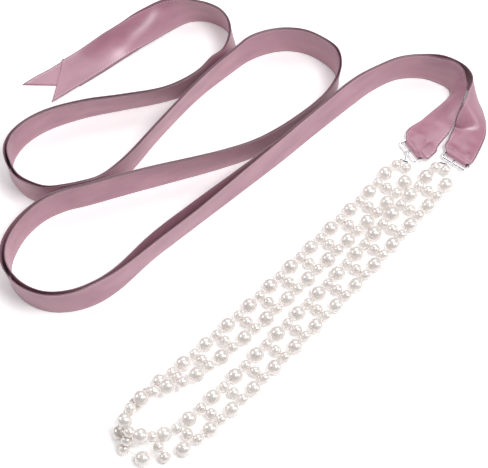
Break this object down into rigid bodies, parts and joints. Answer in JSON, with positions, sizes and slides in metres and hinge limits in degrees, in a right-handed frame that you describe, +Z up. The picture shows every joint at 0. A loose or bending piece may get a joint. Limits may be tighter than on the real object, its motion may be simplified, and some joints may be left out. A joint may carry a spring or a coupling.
{
  "type": "bridal sash",
  "caption": "Belt sash of netted imitation pearls hooked to wire rings, with two satin ribbon ties laid out in a winding path to diagonally cut tails.",
  "frame": {"origin": "on the table top, under the middle of the sash's bounding box", "axes": "+Z up from the table, +Y away from the camera side, towards the ribbon tails, +X towards the hooks and rings"},
  "size_m": [0.2668, 0.3014, 0.0224],
  "materials": {
    "satin": "satin",
    "pearl": "pearl lacquer",
    "silver_wire": "polished"
  },
  "bodies": {
    "root": {"left_hook": "silver_wire", "left_ribbon_bend_1": "satin", "left_ribbon_bend_2": "satin", "left_ribbon_bend_2_end": "satin", "left_ribbon_bend_2_middle": "satin", "left_ribbon_bend_3": "satin", "left_ribbon_bend_3_end": "satin", "left_ribbon_bend_3_middle": "satin", "left_ribbon_bend_4": "satin", "left_ribbon_bend_4_end": "satin", "left_ribbon_bend_4_middle": "satin", "left_ribbon_bend_5": "satin", "left_ribbon_bend_5_middle": "satin", "left_ribbon_clasp_end": "satin", "left_ribbon_loop": "satin", "left_ribbon_run_1": "satin", "left_ribbon_run_2": "satin", "left_ribbon_run_2_end": "satin", "left_ribbon_run_3": "satin", "left_ribbon_run_4": "satin", "left_ribbon_tail": "satin", "left_ribbon_tail_turn": "satin", "left_ribbon_twist": "satin", "left_ring": "silver_wire", "net_far_1": "pearl", "net_far_2": "pearl", "net_far_3": "pearl", "net_fold_1": "pearl", "net_fold_2": "pearl", "net_near_1": "pearl", "net_near_2": "pearl", "net_near_3": "pearl", "right_hook": "silver_wire", "right_ribbon_bend_1": "satin", "right_ribbon_bend_2": "satin", "right_ribbon_bend_2_end": "satin", "right_ribbon_bend_2_middle": "satin", "right_ribbon_bend_3": "satin", "right_ribbon_bend_3_end": "satin", "right_ribbon_bend_3_middle": "satin", "right_ribbon_bend_4": "satin", "right_ribbon_bend_4_end": "satin", "right_ribbon_bend_4_middle": "satin", "right_ribbon_bend_5": "satin", "right_ribbon_bend_5_middle": "satin", "right_ribbon_clasp_end": "satin", "right_ribbon_loop": "satin", "right_ribbon_run_1": "satin", "right_ribbon_run_2": "satin", "right_ribbon_run_2_end": "satin", "right_ribbon_run_3": "satin", "right_ribbon_run_4": "satin", "right_ribbon_tail": "satin", "right_ribbon_tail_turn": "satin", "right_ribbon_twist": "satin", "right_ring": "silver_wire"}
  },
  "joints": []
}
